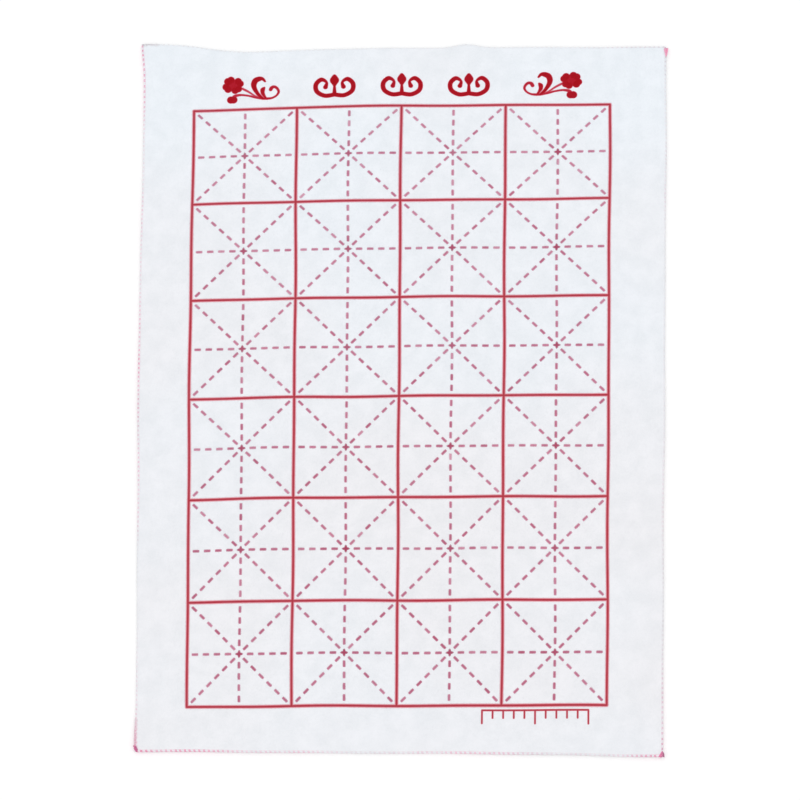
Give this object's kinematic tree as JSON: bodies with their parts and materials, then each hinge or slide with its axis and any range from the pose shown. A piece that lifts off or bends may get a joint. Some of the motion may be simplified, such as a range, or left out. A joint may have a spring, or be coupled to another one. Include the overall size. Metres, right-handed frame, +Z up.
{
  "type": "calligraphy felt mat",
  "caption": "Flat rectangular felt mat with thread-bound edges and a printed grid of practice squares, laid under paper for brush writing.",
  "frame": {"origin": "centre of the mat on its underside, where it lies on a table", "axes": "+X across the width, +Y along the length towards the printed heading, +Z up out of the printed face"},
  "size_m": [0.5, 0.7, 0.0044],
  "materials": {
    "felt": "matt white needle felt",
    "seam_thread": "thin pale pink and grey overlock thread",
    "thread_end": "bunched pink thread",
    "ink": "matt red screen print soaked into the felt"
  },
  "bodies": {
    "root": {"felt_sheet": "felt", "overlock_seam_top": "seam_thread", "overlock_seam_left": "seam_thread", "overlock_seam_bottom": "seam_thread", "overlock_seam_right": "seam_thread", "thread_end_top_left": "thread_end", "thread_end_top_right": "thread_end", "thread_end_bottom_left": "thread_end", "thread_end_bottom_right": "thread_end", "ink_grid_lines": "ink", "guide_star_row1_column1": "ink", "guide_star_row1_column2": "ink", "guide_star_row1_column3": "ink", "guide_star_row1_column4": "ink", "guide_star_row2_column1": "ink", "guide_star_row2_column2": "ink", "guide_star_row2_column3": "ink", "guide_star_row2_column4": "ink", "guide_star_row3_column1": "ink", "guide_star_row3_column2": "ink", "guide_star_row3_column3": "ink", "guide_star_row3_column4": "ink", "guide_star_row4_column1": "ink", "guide_star_row4_column2": "ink", "guide_star_row4_column3": "ink", "guide_star_row4_column4": "ink", "guide_star_row5_column1": "ink", "guide_star_row5_column2": "ink", "guide_star_row5_column3": "ink", "guide_star_row5_column4": "ink", "guide_star_row6_column1": "ink", "guide_star_row6_column2": "ink", "guide_star_row6_column3": "ink", "guide_star_row6_column4": "ink", "heading_cloud_1": "ink", "heading_cloud_2": "ink", "heading_cloud_3": "ink", "blossom_spray_left": "ink", "blossom_spray_right": "ink", "measuring_scale": "ink"}
  },
  "joints": []
}
